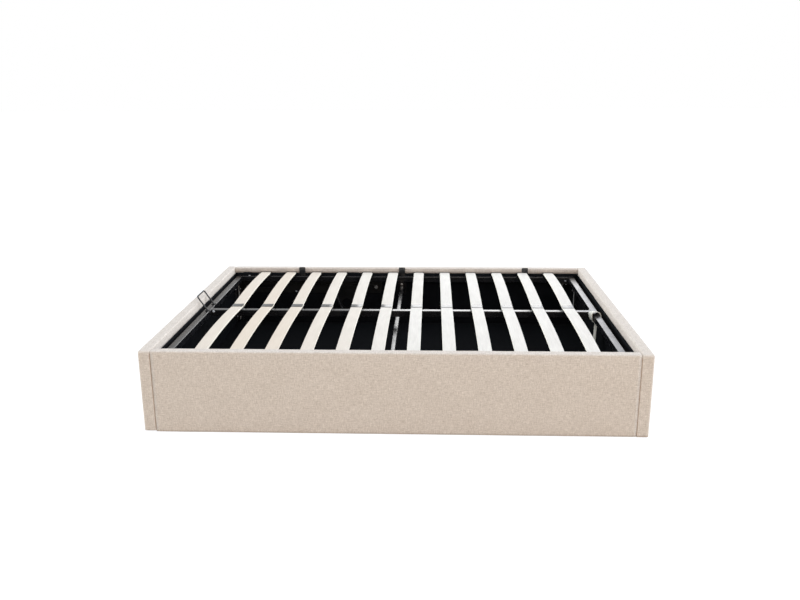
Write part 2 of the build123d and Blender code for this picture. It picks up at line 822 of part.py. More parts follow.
# Every node, by name
nodes = {
    "foot_panel_core": end_core(),
    "head_panel_core": swap(end_core()),
    "right_rail_core": rail_core(),
    "left_rail_core": flip(rail_core()),
    "foot_panel_cover": end_cover(),
    "head_panel_cover": swap(end_cover()),
    "right_rail_cover": rail_cover(),
    "left_rail_cover": flip(rail_cover()),
    "inner_lining": lining(),
    "floor_boards": floor_boards(),
    "floor_bearers": bearers(),
    "glides": glides(),
    "corner_brackets": corner_brackets(),
    "cross_beam": cross_beam(),
    "cross_beam_plates": beam_plates(),
    "base_bolts": base_bolts(),
    "hinge_plate_right": hinge_plate(),
    "hinge_plate_left": flip(hinge_plate()),
    "hinge_plate_screws": plate_screws(),
    "arm_pivot_pins": Compound(children=[base_pin(), flip(base_pin())]),
    "strut_foot_studs": Compound(
        children=[stud(strut_foot, plate_in), flip(stud(strut_foot, plate_in))]
    ),
    "rest_brackets": Compound(children=[rest_bracket(), flip(rest_bracket())]),
    "rest_pads": Compound(children=[rest_pad(), flip(rest_pad())]),
    "lift_arm_right": lift_arm(),
    "lift_arm_left": flip(lift_arm()),
    "strut_head_stud_right": stud(strut_head, arm_in),
    "strut_head_stud_left": flip(stud(strut_head, arm_in)),
    "strut_cylinder_right": strut_cylinder(),
    "strut_cylinder_left": flip(strut_cylinder()),
    "strut_rod_right": strut_rod(),
    "strut_rod_left": flip(strut_rod()),
    "head_tube": end_tube(deck_head + tube / 2),
    "foot_tube": end_tube(deck_foot - tube / 2),
    "right_side_tube": side_tube(),
    "left_side_tube": flip(side_tube()),
    "centre_tube": centre_tube(),
    "centre_tube_flanges": centre_flanges(),
    "tube_end_caps": tube_caps(),
    "hanger_right": hanger(),
    "hanger_left": flip(hanger()),
    "hanger_pins": Compound(children=frame_pins() + [flip(pin) for pin in frame_pins()]),
    "slot_rollers": Compound(children=[slot_roller(), flip(slot_roller())]),
    "side_slat_holders": side_holders(),
    "centre_slat_holders": centre_holders(),
    "mattress_retainer": retainer(),
    "mattress_stoppers": stoppers(),
    "pull_strap": pull_strap(),
    "frame_bolts": frame_bolts(),
}
for row, x in enumerate(slat_xs):
    nodes[f"slat_row_{row + 1:02d}"] = slat_row(x)

os.makedirs("parts", exist_ok=True)
for name, shape in nodes.items():
    export_step(shape, f"parts/{name}.step")
print(len(nodes), "nodes")
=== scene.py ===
"""The looks of an ottoman storage bed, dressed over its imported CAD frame.

Metres, Z up, X from the head end (-X) to the foot end (+X), Y across, the camera on the -Y side.
"""

import math

import bmesh
import bpy
import numpy as np
from mathutils import Matrix, Vector, noise

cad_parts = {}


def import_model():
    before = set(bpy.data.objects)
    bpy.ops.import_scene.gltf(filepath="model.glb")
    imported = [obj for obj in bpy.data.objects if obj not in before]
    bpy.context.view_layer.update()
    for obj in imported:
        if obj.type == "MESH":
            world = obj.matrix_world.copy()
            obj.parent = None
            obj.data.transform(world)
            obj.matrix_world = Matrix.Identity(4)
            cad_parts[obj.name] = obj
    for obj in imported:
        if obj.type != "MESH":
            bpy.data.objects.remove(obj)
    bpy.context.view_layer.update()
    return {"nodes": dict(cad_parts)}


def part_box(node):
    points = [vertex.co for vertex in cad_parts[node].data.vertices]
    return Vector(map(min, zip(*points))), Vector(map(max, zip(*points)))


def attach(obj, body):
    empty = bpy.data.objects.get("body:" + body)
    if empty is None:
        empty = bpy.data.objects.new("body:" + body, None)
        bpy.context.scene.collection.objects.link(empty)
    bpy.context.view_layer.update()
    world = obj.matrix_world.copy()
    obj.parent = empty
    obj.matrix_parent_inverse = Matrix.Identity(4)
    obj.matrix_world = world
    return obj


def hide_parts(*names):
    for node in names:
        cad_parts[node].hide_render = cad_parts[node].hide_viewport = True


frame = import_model()
nodes = frame["nodes"]
scene = bpy.context.scene
MM = 0.001


# Helpers for meshes


def shade_smooth(mesh):
    """Shades every face smooth."""
    mesh.polygons.foreach_set("use_smooth", [True] * len(mesh.polygons))


def link(name, mesh, smooth=True):
    """A new object of a mesh, in the scene."""
    obj = bpy.data.objects.new(name, mesh)
    scene.collection.objects.link(obj)
    if smooth:
        shade_smooth(mesh)
    return obj


def from_bmesh(name, bm):
    """A mesh of a bmesh, with its normals turned outwards."""
    bmesh.ops.recalc_face_normals(bm, faces=bm.faces)
    mesh = bpy.data.meshes.new(name)
    bm.to_mesh(mesh)
    bm.free()
    return mesh


def thicken(obj, thickness, offset=0):
    """A Solidify modifier: offset 0 grows both ways, -1 inwards."""
    modifier = obj.modifiers.new("thickness", "SOLIDIFY")
    modifier.thickness = thickness
    modifier.offset = offset


def round_edges(obj, radius, degrees):
    """A small bevel on the edges that turn by more than an angle."""
    modifier = obj.modifiers.new("round", "BEVEL")
    modifier.width = radius
    modifier.segments = 2
    modifier.limit_method = "ANGLE"
    modifier.angle_limit = math.radians(degrees)


def applied(obj):
    """Replaces an object's mesh by what its modifiers make of it."""
    depsgraph = bpy.context.evaluated_depsgraph_get()
    mesh = bpy.data.meshes.new_from_object(obj.evaluated_get(depsgraph))
    obj.modifiers.clear()
    old, obj.data = obj.data, mesh
    bpy.data.meshes.remove(old)
    return mesh


def finished(obj, material):
    """Applies a piece's modifiers, shades it smooth and gives it its material."""
    mesh = applied(obj)
    shade_smooth(mesh)
    mesh.materials.clear()
    mesh.materials.append(material)


def skin(bm, rings):
    """Faces between rings of as many points each, and over both ends."""
    for a, b in zip(rings, rings[1:]):
        for i in range(len(a)):
            j = (i + 1) % len(a)
            bm.faces.new((a[i], a[j], b[j], b[i]))
    bm.faces.new(rings[0])
    bm.faces.new(rings[-1])


def prism(bm, outline, axis, start, stop):
    """A solid of an outline of points across one axis, from start to stop along it."""
    rings = []
    for at in (start, stop):
        points = [[a, b] for a, b in outline]
        for point in points:
            point.insert(axis, at)
        rings.append([bm.verts.new(point) for point in points])
    skin(bm, rings)


def slab(bm, x0, x1, y0, y1, z0, z1):
    """A plain rectangular part of a moulding."""
    prism(bm, [(y0, z0), (y1, z0), (y1, z1), (y0, z1)], 0, x0, x1)


def circle(x, y, radius, count, turn=0.0):
    """Points round a circle."""
    return [(x + radius * math.cos(2 * math.pi * k / count + turn),
             y + radius * math.sin(2 * math.pi * k / count + turn)) for k in range(count)]


def point_attribute(mesh, name, values):
    """Keeps one number for each vertex, for the materials to read."""
    attribute = mesh.attributes.new(name, "FLOAT", "POINT")
    attribute.data.foreach_set("value", np.asarray(values, np.float32))


# Helpers for materials


def srgb(r, g, b):
    """An 8-bit colour as the linear values that the shaders take."""
    parts = [c / 255 for c in (r, g, b)]
    return tuple(c / 12.92 if c <= 0.04045 else ((c + 0.055) / 1.055) ** 2.4 for c in parts) + (1.0,)


class Nodes:
    """A node tree being made."""

    def __init__(self, owner):
        owner.use_nodes = True
        self.tree = owner.node_tree
        self.tree.nodes.clear()

    def add(self, kind, inputs=None, **settings):
        """A new node, with its settings and its inputs."""
        node = self.tree.nodes.new(kind)
        for key, value in settings.items():
            setattr(node, key, value)
        for key, value in (inputs or {}).items():
            self.put(node.inputs[key], value)
        return node

    def put(self, socket, value):
        """Links a socket, or sets it."""
        if isinstance(value, bpy.types.NodeSocket):
            self.tree.links.new(value, socket)
        else:
            socket.default_value = value

    def math(self, operation, a, b=0.0, c=0.0):
        """One Math node."""
        return self.add("ShaderNodeMath", {0: a, 1: b, 2: c}, operation=operation).outputs[0]

    def blend(self, a, b, share):
        """Two numbers added, each times its share: the second one's is what is left of 1."""
        rest = self.math("SUBTRACT", 1.0, share)
        return self.math("ADD", self.math("MULTIPLY", a, share), self.math("MULTIPLY", b, rest))

    def mix(self, factor, a, b):
        """Two colours mixed."""
        node = self.add("ShaderNodeMix", data_type="RGBA")
        self.put(node.inputs[0], factor)
        self.put(node.inputs[6], a)
        self.put(node.inputs[7], b)
        return node.outputs[2]

    def vector(self, operation, a, b):
        """One Vector Math node."""
        second = "Scale" if operation == "SCALE" else 1
        return self.add("ShaderNodeVectorMath", {0: a, second: b}, operation=operation).outputs[0]

    def split(self, vector):
        """A vector's three numbers."""
        return self.add("ShaderNodeSeparateXYZ", {0: vector}).outputs

    def place(self, output="Object", scale=(1, 1, 1)):
        """Texture coordinates, stretched."""
        source = self.add("ShaderNodeTexCoord").outputs[output]
        return self.add("ShaderNodeMapping", {"Vector": source, "Scale": scale}).outputs[0]

    def noise(self, vector, scale, detail=2.0, roughness=0.5):
        """A noise texture's number, about 0.5 in the middle."""
        inputs = {"Vector": vector, "Scale": scale, "Detail": detail, "Roughness": roughness}
        return self.add("ShaderNodeTexNoise", inputs).outputs[0]

    def spread(self, value, low, high, to_low=0.0, to_high=1.0):
        """A number's range mapped to another one, and held there."""
        inputs = {0: value, 1: low, 2: high, 3: to_low, 4: to_high}
        return self.add("ShaderNodeMapRange", inputs).outputs[0]

    def bump(self, height, distance, strength):
        """A bump of a real height in metres."""
        inputs = {"Height": height, "Distance": distance, "Strength": strength}
        return self.add("ShaderNodeBump", inputs).outputs[0]

    def attribute(self, name):
        """A number kept in the mesh."""
        return self.add("ShaderNodeAttribute", attribute_name=name).outputs["Fac"]

    def seen(self):
        """1 for what is seen straight, mirrored or through glass, and 0 for what only lights."""
        ray = self.add("ShaderNodeLightPath")
        straight = self.math("MAXIMUM", ray.outputs["Is Camera Ray"], ray.outputs["Is Glossy Ray"])
        return self.math("MAXIMUM", straight, ray.outputs["Is Transmission Ray"])


class Graph(Nodes):
    """A material being made: a Principled surface and the nodes that feed it."""

    def __init__(self, name, **constants):
        self.material = bpy.data.materials.new(name)
        super().__init__(self.material)
        self.surface = self.add("ShaderNodeBsdfPrincipled")
        self.add("ShaderNodeOutputMaterial", {"Surface": self.surface.outputs[0]})
        for key, value in constants.items():
            self.surface.inputs[key.replace("_", " ")].default_value = value

    def use(self, **links):
        """Links or sets sockets of the surface, and gives the material."""
        for key, value in links.items():
            self.put(self.surface.inputs[key.replace("_", " ")], value)
        return self.material


# Materials. Noise scales are per metre: 1000 is a feature of about a millimetre.

WEAVE_PITCH = 2.2 * MM
# Heights between which the painted shade along the covers' bottom edge fades out
BOTTOM_SHADE_LOW, BOTTOM_SHADE_HIGH = 3 * MM, 9 * MM
RIB_PITCH, TWILL_PITCH = 1.6 * MM, 1.9 * MM


def fabric_material():
    """Plain-woven linen-look upholstery with slubs, on UVs in metres."""
    g = Graph("upholstery_weave", Roughness=0.9, Sheen_Weight=0.06, Sheen_Roughness=0.5,
              Specular_IOR_Level=0.22)
    # The threads wander from their straight lines by up to half a pitch.
    uv = g.place("UV")
    wander = g.add("ShaderNodeTexNoise", {"Vector": uv, "Scale": 90.0, "Detail": 1.0}).outputs["Color"]
    wander = g.vector("SCALE", g.vector("SUBTRACT", wander, (0.5, 0.5, 0.5)), WEAVE_PITCH)
    uv = g.split(g.vector("ADD", uv, wander))
    # Each thread is half round, and warp and weft lie over each other by turns.
    thread, domed = [], []
    for axis in (0, 1):
        turns = g.math("DIVIDE", uv[axis], WEAVE_PITCH)
        thread.append(g.math("FLOOR", turns))
        part = g.math("MULTIPLY_ADD", g.math("FRACT", turns), 2.0, -1.0)
        domed.append(g.math("SQRT", g.math("SUBTRACT", 1.0, g.math("MULTIPLY", part, part))))
    over = g.math("FLOORED_MODULO", g.math("ADD", *thread), 2.0)
    warp = g.math("MULTIPLY", domed[0], g.math("MULTIPLY_ADD", domed[1], 0.5, 0.5))
    weft = g.math("MULTIPLY", domed[1], g.math("MULTIPLY_ADD", domed[0], 0.5, 0.5))
    weave = g.blend(warp, weft, over)
    # Slubs run along their threads, a blotch under both, and a slow drift over the whole cloth.
    warp_slub = g.noise(g.place("UV", (280, 42, 1)), 1.0, 3.0, 0.6)
    weft_slub = g.noise(g.place("UV", (42, 280, 1)), 1.0, 3.0, 0.6)
    slub = g.blend(warp_slub, weft_slub, over)
    cross = g.math("MULTIPLY", g.math("ADD", warp_slub, weft_slub), 0.5)
    blotch = g.noise(g.place("UV"), 190.0, 3.0, 0.7)
    tone = g.math("ADD", g.math("MULTIPLY", slub, 0.3), g.math("MULTIPLY", cross, 0.35))
    tone = g.math("ADD", tone, g.math("MULTIPLY", blotch, 0.35))
    drift = g.noise(g.place("UV"), 8.0, 2.0)
    tone = g.math("ADD", tone, g.math("MULTIPLY_ADD", drift, 0.05, -0.025))
    colour = g.mix(g.spread(tone, 0.37, 0.63), srgb(180, 165, 151), srgb(223, 211, 199))
    # Painted shade: the cloth is darker in the hollows between the threads.
    colour = g.mix(g.spread(weave, 0.0, 0.55, 0.45, 0.0), colour, srgb(163, 148, 134))
    # Painted shade: the cloth darkens over its lowest few millimetres, for the shade along the covers'
    # bottom edge.
    painted_bottom_shade = g.spread(g.split(g.place())[2], BOTTOM_SHADE_LOW, BOTTOM_SHADE_HIGH, 0.55, 0.0)
    colour = g.mix(painted_bottom_shade, colour, srgb(150, 131, 114))
    height = g.math("ADD", g.math("MULTIPLY", weave, 0.7), g.math("MULTIPLY", slub, 0.5))
    return g.use(Base_Color=colour, Normal=g.bump(height, 0.45 * MM, 0.8))


def seam_shade_thread_material():
    """The sewing thread in the covers' seams, coloured darker than the cloth as a painted shade of the
    grooves it lies in.
    """
    g = Graph("seam_thread_painted_shade", Roughness=0.9, Specular_IOR_Level=0.2)
    fibre = g.noise(g.place(scale=(500, 500, 900)), 1.0, 3.0, 0.6)
    colour = g.mix(g.spread(fibre, 0.35, 0.65), srgb(150, 126, 108), srgb(188, 162, 142))
    return g.use(Base_Color=colour, Normal=g.bump(fibre, 0.3 * MM, 0.6))


def lining_material():
    """Black spun-bonded sheet, matt, with its fine dimpled print."""
    g = Graph("black_nonwoven", Roughness=1.0, Specular_IOR_Level=0.06)
    fibre = g.noise(g.place(), 900.0, 3.0, 0.7)
    cloud = g.noise(g.place(), 24.0, 3.0)
    colour = g.mix(g.spread(cloud, 0.3, 0.7), (0.0046, 0.0049, 0.006, 1), (0.0075, 0.0079, 0.0095, 1))
    return g.use(Base_Color=colour, Normal=g.bump(fibre, 0.3 * MM, 0.6))


def slat_material():
    """Pale laminated slats: a washed face with faint grain along Y, and plies on the edges, paler than
    the face as a painted highlight.

    The meshes say how warm a slat's tone is (a painted warm shade towards the head end, with a little
    random tone), which points are on edges, and how high in it they lie."""
    g = Graph("slat_beech", Specular_IOR_Level=0.15)
    grain = g.noise(g.place(scale=(430, 7, 430)), 1.0, 4.0, 0.62)
    fine = g.noise(g.place(scale=(1400, 22, 900)), 1.0, 2.0, 0.6)
    cloud = g.noise(g.place(scale=(40, 9, 40)), 1.0, 3.0)
    tone = g.math("ADD", g.math("MULTIPLY", grain, 0.5), g.math("MULTIPLY", fine, 0.25))
    tone = g.math("ADD", tone, g.math("MULTIPLY", cloud, 0.25))
    # Painted shade towards the head end, with each slat's random tone, read from the mesh
    painted_warm_shade_and_tone = g.math("MULTIPLY", g.attribute("tone"), 0.6)
    face = g.mix(g.spread(tone, 0.36, 0.64), srgb(201, 193, 183), srgb(224, 216, 206))
    face = g.mix(painted_warm_shade_and_tone, face, srgb(208, 183, 154))
    layer = g.math("FRACT", g.math("MULTIPLY", g.attribute("layer"), 3.0))
    wood = g.math("LESS_THAN", g.math("ABSOLUTE", g.math("SUBTRACT", layer, 0.5)), 0.44)
    # Painted highlight: the edges' plies are paler than the face, for the light that the rounded edges
    # catch.
    ply_and_painted_highlight = g.mix(grain, srgb(238, 229, 213), srgb(249, 243, 231))
    ply_and_painted_highlight = g.mix(wood, srgb(206, 188, 160), ply_and_painted_highlight)
    ply_and_painted_highlight = g.mix(painted_warm_shade_and_tone, ply_and_painted_highlight, srgb(208, 188, 164))
    colour = g.mix(g.attribute("edge"), face, ply_and_painted_highlight)
    rough = g.spread(grain, 0.3, 0.7, 0.52, 0.66)
    return g.use(Base_Color=colour, Roughness=rough, Normal=g.bump(grain, 0.12 * MM, 0.5))


def coat_material(name, base, roughness, ior=1.5, peel=0.6):
    """Powder-coated steel, with orange peel and slightly rubbed places."""
    g = Graph(name, IOR=ior)
    skin_noise = g.noise(g.place(), 420.0, 2.0, 0.5)
    cloud = g.noise(g.place(), 14.0, 4.0, 0.6)
    dark = tuple(0.8 * c for c in base) + (1,)
    light = tuple(1.3 * c for c in base) + (1,)
    rough = g.spread(cloud, 0.3, 0.7, roughness - 0.05, roughness + 0.07)
    colour = g.mix(g.spread(cloud, 0.3, 0.7), dark, light)
    return g.use(Base_Color=colour, Roughness=rough, Normal=g.bump(skin_noise, 0.005 * MM, peel))


def plastic_material(name, base, roughness):
    """Moulded plastic with a fine spark-eroded grain."""
    g = Graph(name, IOR=1.46)
    grain = g.noise(g.place(), 1500.0, 2.0, 0.6)
    cloud = g.noise(g.place(), 30.0, 2.0)
    dark = base + (1,)
    light = tuple(1.5 * c + 0.002 for c in base) + (1,)
    colour = g.mix(g.spread(cloud, 0.35, 0.65), dark, light)
    rough = g.spread(grain, 0.3, 0.7, roughness - 0.05, roughness + 0.08)
    return g.use(Base_Color=colour, Roughness=rough, Normal=g.bump(grain, 0.02 * MM, 0.6))


def zinc_material(name="zinc_plate", black_within=0.0, metallic=1.0):
    """Bright zinc-plated steel, faintly clouded. Within a distance of the middle line it is black."""
    g = Graph(name, Metallic=metallic)
    cloud = g.noise(g.place(), 60.0, 4.0, 0.65)
    scratch = g.noise(g.place(scale=(900, 900, 60)), 1.0, 2.0)
    colour = g.mix(g.spread(cloud, 0.3, 0.7), srgb(176, 180, 186), srgb(212, 214, 216))
    if black_within:
        across = g.math("ABSOLUTE", g.split(g.place())[1])
        colour = g.mix(g.math("LESS_THAN", across, black_within), colour, (0.02, 0.02, 0.022, 1))
    rough = g.spread(cloud, 0.3, 0.7, 0.24, 0.4)
    return g.use(Base_Color=colour, Roughness=rough, Normal=g.bump(scratch, 0.05 * MM, 0.5))


def chrome_material():
    """Hard-chromed rod, polished."""
    g = Graph("hard_chrome", Metallic=1.0)
    turned = g.noise(g.place(scale=(60, 60, 1800)), 1.0, 2.0)
    colour = g.mix(turned, srgb(214, 216, 220), srgb(232, 233, 235))
    return g.use(Base_Color=colour, Roughness=g.spread(turned, 0.3, 0.7, 0.08, 0.16))


def board_material(name, dark, light, gloss=0.4):
    """Chipboard: pressed flakes of several tones."""
    g = Graph(name, Roughness=0.85, Specular_IOR_Level=gloss)
    cells = g.add("ShaderNodeTexVoronoi", {"Vector": g.place(scale=(260, 260, 420)), "Scale": 1.0})
    flake = g.add("ShaderNodeSeparateColor", {0: cells.outputs["Color"]}).outputs[0]
    dust = g.noise(g.place(), 700.0, 3.0, 0.7)
    tone = g.math("ADD", g.math("MULTIPLY", flake, 0.6), g.math("MULTIPLY", dust, 0.4))
    colour = g.mix(g.spread(tone, 0.15, 0.85), dark, light)
    return g.use(Base_Color=colour, Normal=g.bump(tone, 0.3 * MM, 0.6))


def pine_material():
    """Planed pine bearers, with long grain along X."""
    g = Graph("bearer_pine", Roughness=0.62)
    ring = g.noise(g.place(scale=(9, 160, 160)), 1.0, 3.0, 0.6)
    pore = g.noise(g.place(scale=(60, 1300, 900)), 1.0, 2.0)
    tone = g.math("ADD", g.math("MULTIPLY", ring, 0.7), g.math("MULTIPLY", pore, 0.3))
    colour = g.mix(g.spread(tone, 0.36, 0.64), srgb(190, 150, 102), srgb(228, 196, 150))
    return g.use(Base_Color=colour, Normal=g.bump(tone, 0.2 * MM, 0.5))


def webbing_material():
    """The pull strap's flat woven webbing: ribs across it, on UVs in metres."""
    g = Graph("strap_webbing", Roughness=0.8, Sheen_Weight=0.2)
    uv = g.split(g.place("UV"))
    rib = g.math("SINE", g.math("MULTIPLY", uv[1], 2 * math.pi / RIB_PITCH))
    twill = g.math("SINE", g.math("MULTIPLY", uv[0], 2 * math.pi / TWILL_PITCH))
    weave = g.math("MULTIPLY_ADD", g.math("MULTIPLY", rib, twill), 0.5, 0.5)
    slub = g.noise(g.place("UV", (300, 60, 1)), 1.0, 2.0)
    tone = g.math("ADD", g.math("MULTIPLY", weave, 0.5), g.math("MULTIPLY", slub, 0.5))
    colour = g.mix(g.spread(tone, 0.2, 0.8), srgb(200, 192, 176), srgb(240, 234, 220))
    return g.use(Base_Color=colour, Normal=g.bump(weave, 0.3 * MM, 0.8))


# One finish for each material slot of the record
MATERIALS = {
    "upholstery": fabric_material(),
    "lining": lining_material(),
    "slat_wood": slat_material(),
    "frame_steel": coat_material("frame_powder_coat", (0.008, 0.008, 0.0092), 0.25, peel=0.3),
    "mechanism_steel": coat_material("mechanism_powder_coat", (0.003, 0.0032, 0.0038), 0.4, 1.36),
    "strut_body": coat_material("strut_lacquer", (0.008, 0.008, 0.009), 0.2, 1.45),
    "holder_plastic": plastic_material("holder_plastic", (0.012, 0.012, 0.0125), 0.24),
    "glide": plastic_material("glide_nylon", (0.05, 0.05, 0.052), 0.5),
    "rubber": plastic_material("rest_rubber", (0.009, 0.009, 0.009), 0.72),
    "bolt_steel": zinc_material(),
    "strut_rod": chrome_material(),
    "board": board_material("panel_chipboard", srgb(150, 118, 82), srgb(206, 178, 138)),
    "floor": board_material("floor_black_board", (0.0042, 0.0044, 0.0054, 1),
                            (0.0075, 0.0078, 0.0092, 1), gloss=0.06),
    "bearer": pine_material(),
    "strap": webbing_material(),
}
# Nodes whose finish isn't their slot's
FINISH_OF = {
    "mattress_retainer": coat_material("retainer_black", (0.006, 0.006, 0.0066), 0.5),
    "frame_bolts": zinc_material("frame_bolt_steel", black_within=60 * MM),
}
SEAM_THREAD_SHADE = seam_shade_thread_material()
BRIGHT_ZINC = zinc_material("bolt_bright_zinc", metallic=0.25)
# Light grey: a painted highlight along the black corner brackets
RIB_PAINTED_HIGHLIGHT = coat_material("bracket_rib_painted_highlight", (0.45, 0.44, 0.42), 0.38)


# The kept CAD pieces: softened edges and finished materials

# How far each slot's edges are rounded, and the nodes that differ from their slot
EDGE = {
    "frame_steel": 1.2 * MM, "mechanism_steel": 0.5 * MM, "holder_plastic": 0.6 * MM,
    "strut_body": 0.5 * MM, "rubber": 0.6 * MM, "floor": 0.5 * MM, "bearer": 1.2 * MM,
    "board": 0.8 * MM, "glide": 0.4 * MM, "bolt_steel": 0.35 * MM, "strut_rod": 0.3 * MM,
}
EDGE_OF = {"mattress_retainer": 0.0, "tube_end_caps": 0.5 * MM}
RETAINER_COAT = 0.5 * MM
WELD_WITHIN = 0.02 * MM


def dress(name, obj):
    """Gives a CAD piece its finish and small rounded edges. Its own mesh stays as it is."""
    slot_name = obj.data.materials[0].name
    obj.data.materials[0] = FINISH_OF.get(name, MATERIALS[slot_name])
    if name == "mattress_retainer":
        coat = obj.modifiers.new("coat", "DISPLACE")
        coat.strength = RETAINER_COAT
        coat.mid_level = 0.0
    radius = EDGE_OF.get(name, EDGE.get(slot_name, 0.0))
    if radius:
        obj.modifiers.new("weld", "WELD").merge_threshold = WELD_WITHIN
        round_edges(obj, radius, 38)
        obj.modifiers.new("normals", "WEIGHTED_NORMAL")


for node_name, node_object in nodes.items():
    dress(node_name, node_object)


# Upholstered covers

FABRIC = 2.0 * MM
# The hems hang this much lower than the solids.
SKIRT = 2.2 * MM
# The two kinds of cover: the axes of its length and thickness, the foam that raises its top, the lower
# edge of the strip tacked inside, the length left closed at each end, how finely it is cut across its
# thickness, and the radii in mm of its edges, on the outer side and on the inner one.
KINDS = {
    "rail": {
        "axes": (0, 1), "foam": 6 * MM, "strip_low": 312 * MM, "closed": 0.0, "step": 9 * MM,
        "radii": {"top": (5.5, 5.5), "bottom": (2.5, 1.5), "upright": (3.5, 1.5),
                  "end_top": (3, 3), "end_bottom": (1.5, 1.5)},
    },
    "panel": {
        "axes": (1, 0), "foam": 0.0, "strip_low": 305 * MM, "closed": 41 * MM, "step": 4 * MM,
        "radii": {"top": (9, 6), "bottom": (2.5, 1.5), "upright": (9, 3.5),
                  "end_top": (9, 9), "end_bottom": (4, 4)},
    },
}
LONG_STEP, HIGH_STEP = 18 * MM, 14 * MM
CROWN, TOP_CROWN = 1.6 * MM, 0.8 * MM
# The seams between rails and panels: their places along X, and how far from the middle line they show
SEAM_X, SEAM_FROM_Y = 0.953, 0.72
SEAM_DEEP, PUCKER, FOLD = 0.7 * MM, 0.8 * MM, 0.35 * MM
# The rails' covers step back at their very ends, from this share of their half length on.
RAIL_END_FROM, RAIL_END_BACK = 0.9965, 1.0 * MM
# The panels' lower corners, which hang a little out of level
CORNER_FROM_Y, CORNER_WIDE, CORNER_HIGH = 0.69, 0.03, 0.05
# Which way a face of a cover looks
SIDE, LEVEL, END = range(3)


def block(lo, hi, radius_of):
    """A box whose edges are rounded: radius_of gives the radius for an edge's middle and direction."""
    bm = bmesh.new()
    bmesh.ops.create_cube(bm, size=1.0)
    size = hi - lo
    for vert in bm.verts:
        vert.co = Vector([lo[i] + (vert.co[i] + 0.5) * size[i] for i in range(3)])
    weight = bm.edges.layers.float.new("bevel_weight_edge")
    radii = {}
    for edge in bm.edges:
        a, b = (v.co for v in edge.verts)
        radii[edge] = radius_of((a + b) / 2, max(range(3), key=lambda i: abs((b - a)[i])))
    widest = max(radii.values())
    for edge, radius in radii.items():
        edge[weight] = radius / widest
    obj = link("block", from_bmesh("block", bm))
    bevel = obj.modifiers.new("round", "BEVEL")
    bevel.width = widest
    bevel.segments = 6
    bevel.limit_method = "WEIGHT"
    mesh = applied(obj)
    bm = bmesh.new()
    bm.from_mesh(mesh)
    bpy.data.objects.remove(obj)
    bpy.data.meshes.remove(mesh)
    return bm


def cut(bm, axis, at):
    """Cuts the faces of a bmesh by a plane across one axis."""
    where, normal = Vector((0, 0, 0)), Vector((0, 0, 0))
    where[axis] = at
    normal[axis] = 1
    geometry = bm.verts[:] + bm.edges[:] + bm.faces[:]
    bmesh.ops.bisect_plane(bm, geom=geometry, dist=1e-6, plane_co=where, plane_no=normal)


def slice_up(bm, axis, start, stop, step):
    """Cuts a bmesh evenly, in slices about as thick as a step."""
    count = max(1, round((stop - start) / step))
    for k in range(1, count):
        cut(bm, axis, start + (stop - start) * k / count)


def open_inside(bm, kind, side, end):
    """Takes away the inner face below the tacked strip, where the board is bare."""
    long_axis, thick_axis = KINDS[kind]["axes"]
    low = KINDS[kind]["strip_low"]
    cut(bm, 2, low)
    bm.normal_update()
    inward = Vector((0, 0, 0))
    inward[thick_axis] = -side
    bare = []
    for face in bm.faces:
        middle = face.calc_center_median()
        inside = face.normal.dot(inward) > 0.9 and middle.z < low
        if inside and abs(middle[long_axis]) < end - KINDS[kind]["closed"]:
            bare.append(face)
    bmesh.ops.delete(bm, geom=bare, context="FACES")
    bm.normal_update()


def pull_tight(bm, lo, hi, kind, side):
    """Gives a cover its slight crown, its ripples, and its puckers and folds at the seams."""
    long_axis, thick_axis = KINDS[kind]["axes"]
    rail = kind == "rail"
    middle_z = (lo.z + hi.z) / 2
    for vert in bm.verts:
        p, n = vert.co.copy(), vert.normal
        along = abs(p[long_axis]) / hi[long_axis]
        up = abs(p.z - middle_z) / (hi.z - middle_z)
        outward = max(0.0, n[thick_axis] * side)
        crown = CROWN * outward * (1 - min(1, up) ** 6) * (1 - along ** 24)
        crown += TOP_CROWN * max(0.0, n.z) * (1 - along ** 24)
        ripple = 0.45 * noise.noise(p * 5.5) + 0.22 * noise.noise(p * 17) + 0.1 * noise.noise(p * 52)
        soft = min(1.0, outward + max(0.0, n.z) + 0.5)
        vert.co = p + n * (crown + ripple * MM * soft)
        seam = abs(abs(p[0]) - SEAM_X)
        if outward > 0.3 and seam < 0.03 and abs(p[1]) > SEAM_FROM_Y:
            pucker = PUCKER * noise.noise(Vector((p.x * 20, 3.1, p.z * 48)))
            vert.co += n * (pucker * math.exp(-seam / 0.010) - SEAM_DEEP * math.exp(-seam / 0.006))
            if side > 0 and not rail:
                fold = math.sin(abs(p[0]) * 690 + 1.5 * noise.noise(Vector((p.z * 9, 0.4, side))))
                vert.co += n * FOLD * fold * math.exp(-seam / 0.012)
        if not rail and abs(p[1]) > CORNER_FROM_Y and p.z < CORNER_HIGH:
            share = min(1.0, (abs(p[1]) - CORNER_FROM_Y) / CORNER_WIDE) * (1 - p.z / CORNER_HIGH)
            vert.co.z += (3.6 if side < 0 else -2.2) * MM * share
        if rail and along > RAIL_END_FROM:
            vert.co[0] -= math.copysign(RAIL_END_BACK, vert.co[0])


def unfold(bm, hi, depth, outer, kind, side):
    """UVs in metres, as the cloth lies: they run on over a cover's edges."""
    long_axis, thick_axis = KINDS[kind]["axes"]
    layer = bm.loops.layers.uv.new("weave")
    for face in bm.faces:
        n = face.normal
        looks = max((abs(n[thick_axis]), SIDE), (abs(n.z), LEVEL), (abs(n[long_axis]), END))[1]
        for loop in face.loops:
            p = loop.vert.co
            d = abs(p[thick_axis] - outer)
            l, z = p[long_axis], p.z
            if looks == END:
                l += math.copysign(d, l)
            elif looks == LEVEL:
                z += d if n.z > 0 else -d
            elif n[thick_axis] * side > 0:
                z += d
            else:
                z = 2 * hi.z - z + depth
            loop[layer].uv = (l, z)


